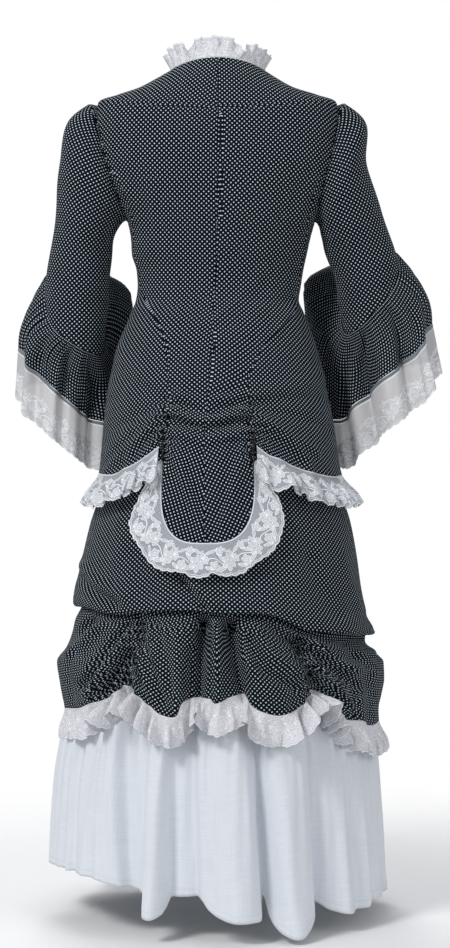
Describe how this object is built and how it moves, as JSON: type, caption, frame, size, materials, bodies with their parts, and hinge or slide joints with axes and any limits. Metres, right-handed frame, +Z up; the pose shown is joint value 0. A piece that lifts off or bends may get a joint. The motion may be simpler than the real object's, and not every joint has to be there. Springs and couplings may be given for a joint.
{
  "type": "walking suit",
  "caption": "Fitted black pin-dot jacket with a drawn-up peplum, flounced sleeves and lace, over a looped-up overskirt and a white flounced underskirt.",
  "frame": {"origin": "on the body's axis at the level of the nape, between the shoulders that hold the suit up", "axes": "+Z up, the front faces -Y, the back faces +Y, the wearer's left is +X"},
  "size_m": [0.7126, 0.5345, 1.4103],
  "materials": {
    "dotted_cloth": "matte",
    "white_cotton": "matte",
    "white_lace": "matte",
    "grey_band": "satin",
    "black_button": "glossy"
  },
  "bodies": {
    "root": {"jacket_back_left": "dotted_cloth", "jacket_back_right": "dotted_cloth", "jacket_side_back_left": "dotted_cloth", "jacket_side_back_right": "dotted_cloth", "jacket_front_left": "dotted_cloth", "jacket_front_right": "dotted_cloth", "sleeve_left": "dotted_cloth", "sleeve_right": "dotted_cloth", "sleeve_flounce_left": "dotted_cloth", "sleeve_flounce_right": "dotted_cloth", "overskirt_waistband": "dotted_cloth", "overskirt": "dotted_cloth", "overskirt_lower": "dotted_cloth", "button_1": "black_button", "button_2": "black_button", "button_3": "black_button", "button_4": "black_button", "button_5": "black_button", "button_6": "black_button", "button_7": "black_button", "button_8": "black_button", "button_9": "black_button", "cuff_band_left": "grey_band", "cuff_band_right": "grey_band", "cuff_lace_left": "white_lace", "cuff_lace_right": "white_lace", "collar_lace": "white_lace", "peplum_lace_left": "white_lace", "peplum_lace_tail": "white_lace", "peplum_lace_right": "white_lace", "overskirt_lace": "white_lace", "underskirt_waistband": "white_cotton", "underskirt": "white_cotton", "underskirt_flounce": "white_cotton"}
  },
  "joints": []
}
